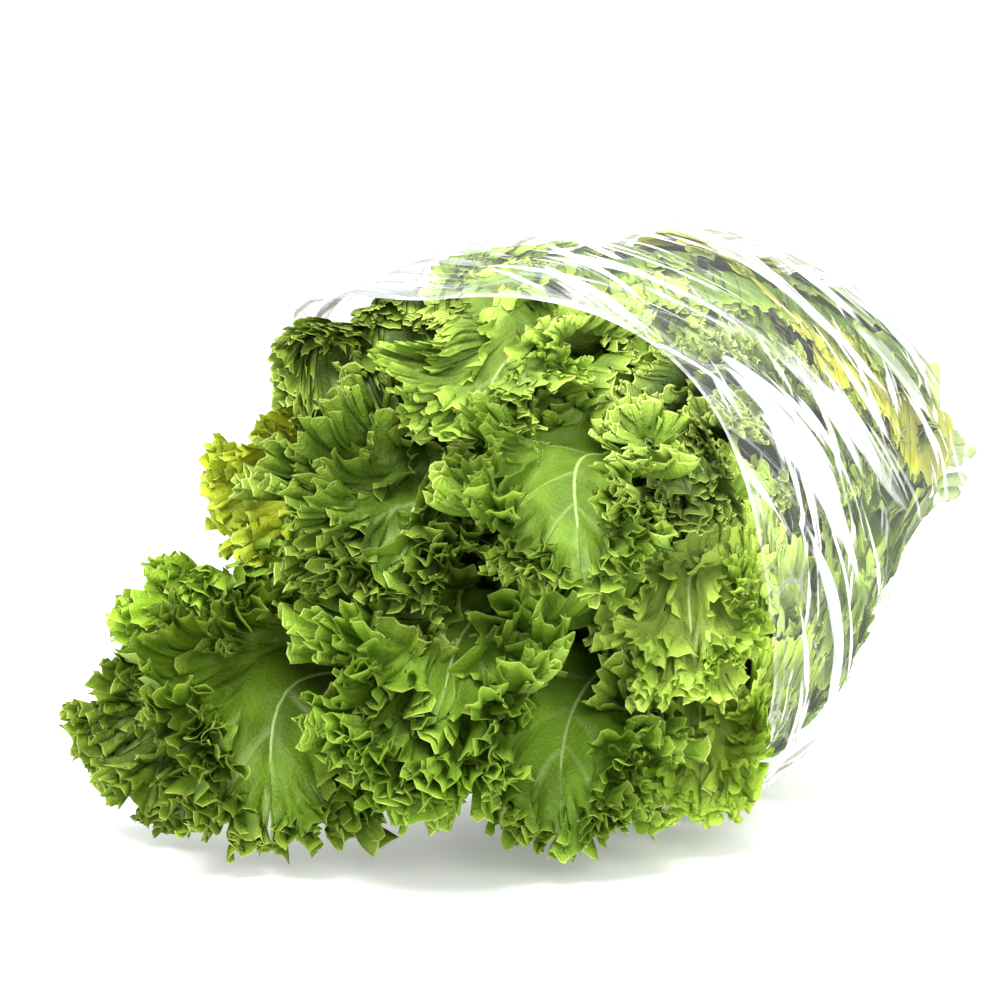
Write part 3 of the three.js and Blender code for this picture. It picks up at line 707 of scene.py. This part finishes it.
def grid_faces(numbers):
    """Two triangles in each square of a grid of points."""
    a, b = numbers[:-1, :-1], numbers[1:, :-1]
    c, d = numbers[1:, 1:], numbers[:-1, 1:]
    return np.concatenate([np.stack(corners, -1).reshape(-1, 3) for corners in ((a, b, c), (a, c, d))])


class Build:
    """Gathers the points and faces of one piece."""

    def __init__(self):
        self.points, self.places, self.faces, self.count = [], [], [], 0
        self.values = {}

    def add(self, points, places, **values):
        """Adds a grid of points, and returns their numbers."""
        numbers = self.count + np.arange(points[..., 0].size).reshape(points.shape[:-1])
        self.points.append(points.reshape(-1, 3))
        self.places.append(places.reshape(-1, 2))
        for key, value in values.items():
            self.values.setdefault(key, []).append(np.broadcast_to(value, numbers.shape).ravel())
        self.count += numbers.size
        return numbers

    def piece(self, name):
        values = {key: np.concatenate(parts) for key, parts in self.values.items()}
        points, places = np.concatenate(self.points), np.concatenate(self.places)
        return make_mesh(name, points, np.concatenate(self.faces), places, values)


def add_half(build, sheet, vein, tone, hand, strip):
    """Adds half a lobe, with its inner part in longer steps than its margin."""
    lengths = np.linalg.norm(np.diff(sheet, axis=1), axis=-1)
    rim = np.pad(np.cumsum(lengths[:, ::-1], axis=1)[:, ::-1], ((0, 0), (0, 1)))
    u = np.linspace(*TEXTURE, len(sheet))
    places = np.stack(np.meshgrid(u, mix(*strip, SHARES), indexing="ij"), -1)
    faces, before, start = [], None, 0
    for band, skip in zip(BANDS, SKIPS):
        part = (slice(None, None, skip), slice(start, start + len(band)))
        held = dict(vein=vein[part], rim=rim[part], tone=tone[part], stem=0.0)
        grid = build.add(sheet[part], places[part], **held)
        faces.append(grid_faces(grid))
        if before is not None:
            faces.append(stitch(before[:, -1], grid[:, 0]))
        before, start = grid, start + len(band)
    faces = np.concatenate(faces)
    build.faces.append(faces if hand < 0 else faces[:, ::-1])


def stitch(near, far):
    """Joins a line of points to one with three times as many steps."""
    starts, stops = far[:-1].reshape(-1, 3), far[1:].reshape(-1, 3)
    fans = [np.stack([near[:-1], stops[:, k], starts[:, k]], -1) for k in range(3)]
    fans.append(np.stack([near[:-1], near[1:], far[3::3]], -1))
    return np.concatenate(fans)


def add_stem(build, leaf, seed):
    """Adds the stem and the rib that it becomes, with a cut end."""
    along = np.r_[0, 0, np.linspace(0, STEM_END, STEM_RINGS - 2)]
    origin, _, upper, side = frame_at(leaf, along)
    blade = np.clip((along - BLADE_START) / (1 - BLADE_START), 0, 1)
    in_stem = mix(STEM_RADIUS, RIB_RADIUS, along / BLADE_START)
    radius = np.where(along < BLADE_START, in_stem, mix(RIB_RADIUS, RIB_END_RADIUS, blade**0.7))
    radius = radius * (1 + STEM_UNEVEN * wander(along * leaf["length"], UNEVEN_LENGTH, seed))
    radius[0] = 0.01
    flat = mix(1, RIB_FLAT, rise(blade, 0, RIB_FLATTENS))
    angle = np.linspace(0, 2 * math.pi, STEM_SIDES + 1)
    ridge = 1 + RIDGE_DEPTH * np.cos(STEM_RIDGES * angle)[None, :]
    across = radius[:, None] * np.cos(angle) * ridge
    out = radius[:, None] * np.sin(angle) * flat[:, None] * ridge
    points = origin[:, None] + side[:, None] * across[..., None] + upper[:, None] * out[..., None]
    points = mix(hold_in(points.copy()), points, rise(points[..., :1], *STEM_FREE))
    u, v = np.linspace(*TEXTURE, STEM_RINGS), np.linspace(*STEM_STRIP, STEM_SIDES + 1)
    places = np.stack(np.meshgrid(u, v, indexing="ij"), -1)
    stem = mix(1, 0.6, blade)[:, None]
    numbers = build.add(points, places, vein=1.0, rim=20.0, tone=0.5, stem=stem)
    build.faces.append(grid_faces(numbers))


def build_leaf(number, leaf):
    others = [other for other in LEAVES if other is not leaf]
    build = Build()
    sizes = [size for size, _ in CURLS[leaf["curl"]]["lobes"]]
    strips = [HALVES_WIDE * size / sum(sizes) for size in sizes]
    edges = np.cumsum([LOBES_START, *np.repeat(strips, 2)])
    for k in range(2 * len(sizes)):
        hand, lobe = (-1, 1)[k % 2], k // 2
        strip = (edges[k], edges[k + 1] - LOBE_GAP)
        sheet, vein, tone = half_lobe(leaf, hand, others, 1000 * number + 100 * k, lobe)
        add_half(build, hold_in(fill_sleeve(sheet)), vein, tone, hand, strip)
    add_stem(build, leaf, 1000 * number + 7)
    piece = build.piece(leaf["name"] + "_curled")
    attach(piece, "root")
    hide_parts(leaf["name"])
    return piece


# ---- The film ----


def film_points(bearing, along):
    """The film's cross-sections at shares of its length, and how far out of them it stands."""
    angle = np.radians(bearing)
    mouth = mouth_at(bearing)[..., 0]
    x = mix(mouth, TAIL_X - TAIL_SLANT * np.sin(angle), along)
    cy, cz, ry, rz = np.moveaxis(section_at(x), -1, 0)
    pleat = PLEAT_DEPTH * rise(along, *PLEATED) * np.cos(PLEATS * angle)
    return x, cy, cz, ry, rz, angle, slack(x, bearing) + pleat


def crumple(across, along, seed):
    """Smooth random values from -1 to 1 over two directions, with a new one every 1 of each."""
    draws = np.random.default_rng(seed).uniform(-1, 1, (256, 256))
    i, j = np.floor(across).astype(int), np.floor(along).astype(int)
    p, q = rise(across - i, 0, 1), rise(along - j, 0, 1)
    near = mix(draws[i % 256, j % 256], draws[(i + 1) % 256, j % 256], p)
    far = mix(draws[i % 256, (j + 1) % 256], draws[(i + 1) % 256, (j + 1) % 256], p)
    return mix(near, far, q)


def build_film():
    bearings, shares = np.linspace(0, 360, FILM_AROUND + 1), np.linspace(0, 1, FILM_STEPS + 1)
    bearing, along = np.meshgrid(bearings, shares, indexing="ij")
    x, cy, cz, ry, rz, angle, grow = film_points(bearing, along)
    back, turn = np.cos(angle), np.sin(angle)
    folds = x + FOLD_SLANT * np.cos(np.radians(bearing - FOLD_TOP))
    one, other = (folds / length for length in LONG_FOLDS)
    long = np.abs(crumple(one, 3 + turn, 11)) + np.abs(crumple(other, 3 + 2 * back, 12))
    fine = crumple(folds / FINE_FOLD, bearing / FINE_FOLD_BEARING, 13)
    height = LONG_FOLD_HEIGHT * long + FINE_FOLD_HEIGHT * fine - TIGHTER
    grow = grow + height * rise(along, 0, 0.03)
    points = np.stack([x, cy + (ry + grow) * back, cz + (rz + grow) * turn], -1)
    points[..., 2] = np.maximum(points[..., 2], FILM_LOWEST)
    points[-1] = points[0]
    build = Build()
    places = np.stack([mix(*TEXTURE, bearing / 360), mix(*TEXTURE, along)], -1)
    edge = x - mouth_at(bearing)[..., 0]
    numbers = build.add(points, places, folds=folds * 0.001, edge=edge, turn=turn, back=back)
    build.faces.append(grid_faces(numbers))
    piece = build.piece("film")
    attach(piece, "root")
    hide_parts("sleeve")
    return piece


# ---- Finishes ----

# A leaf's points carry how much they are a side vein or a stem, a tone that is random and also holds
# painted light and shade, lighter on fold crests and darker in their hollows, and as rim their
# distance from the margin in millimetres. The film's carry their place across its folds in metres,
# their distance from the mouth in millimetres as edge, and their bearing's sine and cosine as turn
# and back.
LEAF_CAST = (1.13, 1.0, 0.54)  # what every leaf's colour is multiplied by
FRESH, VEINED = (0.36, 0.47, 0.06), (0.36, 0.48, 0.15)
MARGIN, STEMMED = (0.50, 0.60, 0.15), (0.46, 0.58, 0.22)
# The film's clear colour, and the grey of its painted dark reflections.
CLEAR, DARK_REFLECTION = (0.94, 0.95, 0.95), (0.25, 0.28, 0.27)
# The film's painted streaks, of glare and at its ear of dark reflection: how much less than its folds
# they slant, how closely they stand across the folds and round the bunch, and the values of noise
# between which one starts.
PAINTED_REFLECTION_STREAKS = dict(
    broad=(0.0, 62.0, 1.2, 0.56, 0.6),
    strands=(0.0, 290.0, 1.6, 0.36, 0.5),
    narrow=(0.012, 190.0, 1.3, 0.6, 0.64),
    steep=(0.08, 150.0, 1.6, 0.62, 0.66),
    fine=(0.0, 420.0, 3.0, 0.55, 0.66),
    ear_reflections=(0.0, 230.0, 2.0, 0.5, 0.56),
)


class Wire:
    """What one socket of a finish gives, for use in sums."""

    def __init__(self, finish, socket):
        self.finish, self.socket = finish, socket

    def sum(self, operation, first, second):
        return self.finish.add("Math", {"operation": operation}, {0: first, 1: second})

    def __add__(self, other):
        return self.sum("ADD", self, other)

    def __radd__(self, other):
        return self.sum("ADD", other, self)

    def __sub__(self, other):
        return self.sum("SUBTRACT", self, other)

    def __rsub__(self, other):
        return self.sum("SUBTRACT", other, self)

    def __mul__(self, other):
        return self.sum("MULTIPLY", self, other)

    def __rmul__(self, other):
        return self.sum("MULTIPLY", other, self)

    def __pow__(self, other):
        return self.sum("POWER", self, other)


class Finish:
    """A material, and the nodes that it is made with."""

    def __init__(self, name):
        self.material = bpy.data.materials.new(name)
        self.material.use_nodes = True
        self.tree = self.material.node_tree
        self.tree.nodes.clear()

    def add(self, kind, settings, sockets, output=0):
        """Adds a node, sets it, then feeds its sockets with values or wires."""
        made = self.tree.nodes.new("ShaderNode" + kind)
        for setting, value in settings.items():
            setattr(made, setting, value)
        for socket, value in sockets.items():
            if isinstance(value, Wire):
                self.tree.links.new(value.socket, made.inputs[socket])
            else:
                made.inputs[socket].default_value = value
        return Wire(self, made.outputs[output]) if made.outputs else None

    def show(self, shader):
        self.add("OutputMaterial", {}, {"Surface": shader})
        return self.material

    def value(self, name):
        return self.add("Attribute", {"attribute_name": name}, {}, "Fac")

    def place(self):
        return self.add("TexCoord", {}, {}, "Object")

    def noise(self, scale, place=None):
        return self.add("TexNoise", {}, {"Vector": place or self.place(), "Scale": scale})

    def cells(self, scale, place=None):
        """The distance to the nearest edge between cells."""
        settings = {"feature": "DISTANCE_TO_EDGE"}
        return self.add("TexVoronoi", settings, {"Vector": place or self.place(), "Scale": scale})

    def step(self, wire, low, high):
        """Smoothly from 0 below low to 1 above high."""
        settings = {"interpolation_type": "SMOOTHSTEP"}
        return self.add("MapRange", settings, {0: wire, 1: low, 2: high, 3: 0.0, 4: 1.0})

    def blend(self, share, first, second):
        """A colour between two."""
        first, second = ((*c, 1.0) if isinstance(c, tuple) else c for c in (first, second))
        return self.add("Mix", {"data_type": "RGBA"}, {0: share, 6: first, 7: second}, 2)

    def most(self, first, second):
        return self.add("Math", {"operation": "MAXIMUM"}, {0: first, 1: second})

    def least(self, first, second):
        return self.add("Math", {"operation": "MINIMUM"}, {0: first, 1: second})

    def bump(self, height, strength, distance):
        return self.add("Bump", {}, {"Height": height, "Strength": strength, "Distance": distance})


def shade(colour, by):
    return tuple(min(1.0, part * by) for part in colour)


def kale_finish(leaf):
    """A leaf with random patches, finely netted, with painted shade deep inside and painted light and
    shade on its folds, and fresh and pale at its margin.
    """
    finish = Finish(leaf["name"] + "_leaf")
    # The leaf's colour carries painted light and shade, lighter or darker leaf by leaf.
    tint_and_painted_light = tuple(part * by for part, by in zip(leaf["tint_and_painted_light"], LEAF_CAST))
    rim, vein, tone, stem = (finish.value(key) for key in ("rim", "vein", "tone", "stem"))
    patches = finish.noise(45.0)
    net = 1 - finish.step(finish.cells(380.0), 0.0, 0.2)
    # The patches follow the random tone and its painted fold light and shade.
    patchy_and_fold_shade = finish.step(patches + (tone - 0.5) * 0.5, 0.3, 0.72)
    body = finish.blend(patchy_and_fold_shade, shade(tint_and_painted_light, 0.7), shade(tint_and_painted_light, 1.3))
    body = finish.blend(net * 0.12, body, shade(tint_and_painted_light, 1.8))
    # Painted shade: darker away from the margin, deep inside the curls.
    body = finish.blend(finish.step(rim, 4.0, 16.0) * CURLS[leaf["curl"]]["inner_painted_shade"], body, shade(tint_and_painted_light, 0.3))
    fresh = tuple(mix(a, b, 0.5) for a, b in zip(shade(tint_and_painted_light, 1.6), FRESH))
    body = finish.blend((1 - finish.step(rim, 1.0, 8.0)) * 0.7, body, fresh)
    body = finish.blend(vein * 0.55, body, VEINED)
    body = finish.blend((1 - finish.step(rim, 0.3, 1.0)) * 0.8, body, MARGIN)
    body = finish.blend(stem * 0.9, body, STEMMED)
    crinkles = finish.noise(260.0) * (1 - finish.step(rim, 4.0, 18.0) * 0.8)
    height = vein * 0.6 + net * 0.24 + crinkles * 0.9
    skin = finish.add("BsdfPrincipled", {}, {
        "Base Color": body,
        "Roughness": patches * 0.2 + 0.4,
        "Specular IOR Level": 0.22,
        "Normal": finish.bump(height, 0.6, 0.0012),
    })
    glow = finish.add("BsdfTranslucent", {}, {"Color": (*shade(tint_and_painted_light, 1.7), 1.0)})
    return finish.show(finish.add("MixShader", {}, {0: 0.2, 1: skin, 2: glow}))


def film_finish():
    """Clear film with painted streaks of glare along its folds, painted dark reflections in its creases
    near its mouth and at its ear, and hemmed at its mouth.
    """
    finish = Finish("clear_film")
    folds, edge, turn, back = (finish.value(key) for key in ("folds", "edge", "turn", "back"))

    def stretched(lean, across, around):
        """A place that draws noise out along the folds, or along lines that slant less than they do."""
        along = folds - (back * math.cos(FOLD_TURN) + turn * math.sin(FOLD_TURN)) * lean
        return finish.add("CombineXYZ", {}, {"X": along * across, "Y": turn * around, "Z": back * around})

    def painted_streaks(lean, across, around, low, high):
        return finish.step(finish.noise(1.0, stretched(lean, across, around)), low, high)

    broad, strands, narrow, steep, fine, ear_reflections = (painted_streaks(*kind) for kind in PAINTED_REFLECTION_STREAKS.values())
    # Painted highlight: patches where the glare is brighter.
    lit = finish.step(finish.noise(13.0), 0.4, 0.54)
    # Painted dark reflections along crease lines, most near the mouth.
    crease_reflections = 1 - finish.step(finish.cells(1.0, stretched(0.03, 48.0, 2.4)), 0.0, 0.035)
    mouth_crease_reflections = crease_reflections * (1 - finish.step(edge, 6.0, 50.0))
    hem = (1 - finish.step(edge, 1.0, 2.8)) * (finish.step(finish.noise(26.0), 0.4, 0.6) * 0.8 + 0.2)
    ear = math.radians(EAR_BEARING)
    at_ear = finish.step(back * math.cos(ear) + turn * math.sin(ear), 0.86, 0.96)
    at_ear = at_ear * (1 - finish.step(edge, 30.0, 60.0))
    # Painted dark reflection lines at the ear.
    ear_reflections = ear_reflections * at_ear
    # Painted highlights: streaks of glare that whiten the film's alpha, weaker at the mouth.
    strong = finish.most(broad * (strands * 0.7 + 0.3), finish.most(narrow, steep * 0.8))
    glare = strong * (lit * 0.6 + 0.4)
    glare = glare * (finish.step(edge, 2.0, 14.0) * 0.75 + 0.25)
    # Painted reflection: the film whitens where it is seen at a glancing angle.
    glancing = finish.add("LayerWeight", {}, {"Blend": 0.25}, "Facing")
    # The alpha holds the film's own haze and hem, with painted glare, painted dark reflections and a
    # painted reflection at glancing angles.
    haze_and_painted_glare = 0.045 + glare * 0.8 + fine * 0.07 + hem * 0.5 + finish.most(mouth_crease_reflections * 0.4, ear_reflections * 0.6)
    haze_and_painted_glare = haze_and_painted_glare + crease_reflections * 0.05 + (glancing ** 3.0) * 0.08
    height = broad * 0.5 + narrow * 0.5 + fine * 0.3 + finish.noise(90.0) * 0.6
    # Painted dark reflections: grey in the creases near the mouth and along the ear's lines.
    dark_reflections = finish.most(mouth_crease_reflections * (1 - glare) * 0.9, ear_reflections) + crease_reflections * 0.2
    return finish.show(finish.add("BsdfPrincipled", {}, {
        "Base Color": finish.blend(dark_reflections, CLEAR, DARK_REFLECTION),
        "Roughness": 0.14,
        "Alpha": finish.least(haze_and_painted_glare, 0.97),
        "Normal": finish.bump(height, 0.7, 0.002),
    }))


# ---- The bunch ----

for number, leaf in enumerate(LEAVES):
    leaf["phase"] = number * FRILL_SHIFT
    set_path(leaf)
    settle_sides(leaf)
for number, leaf in enumerate(LEAVES):
    build_leaf(number, leaf).data.materials.append(kale_finish(leaf))
build_film().data.materials.append(film_finish())

# ---- Floor and light ----


def lay_floor():
    bpy.ops.mesh.primitive_plane_add(size=8, location=(0, 0, 0))
    floor = bpy.context.object
    floor.name = "floor"
    finish = Finish("white_floor")
    floor.data.materials.append(finish.show(finish.add("BsdfPrincipled", {}, {
        "Base Color": (0.95, 0.95, 0.95, 1.0),
        "Roughness": 0.5,
        "Specular IOR Level": 0.2,
        "Emission Color": (1.0, 1.0, 1.0, 1.0),
        "Emission Strength": 0.2,
    })))


def hang_light(name, place, aim, size, power):
    light = bpy.data.lights.new(name, "AREA")
    light.shape = "DISK"
    light.size, light.energy = size, power
    lamp = bpy.data.objects.new(name, light)
    lamp.location = place
    lamp.rotation_euler = (Vector(aim) - Vector(place)).to_track_quat("-Z", "Y").to_euler()
    bpy.context.collection.objects.link(lamp)


def light_room():
    world = bpy.data.worlds.new("room")
    bpy.context.scene.world = world
    world.use_nodes = True
    world.node_tree.nodes["Background"].inputs["Color"].default_value = (1.0, 1.0, 1.0, 1.0)
    world.node_tree.nodes["Background"].inputs["Strength"].default_value = 1.05
    hang_light("above", (-0.9, -0.45, 1.6), (-0.05, 0.0, 0.1), 1.1, 58)
    hang_light("front", (-1.1, -1.3, 0.7), (-0.05, 0.0, 0.08), 0.7, 20)
    bpy.context.scene.view_settings.view_transform = "Standard"


lay_floor()
light_room()
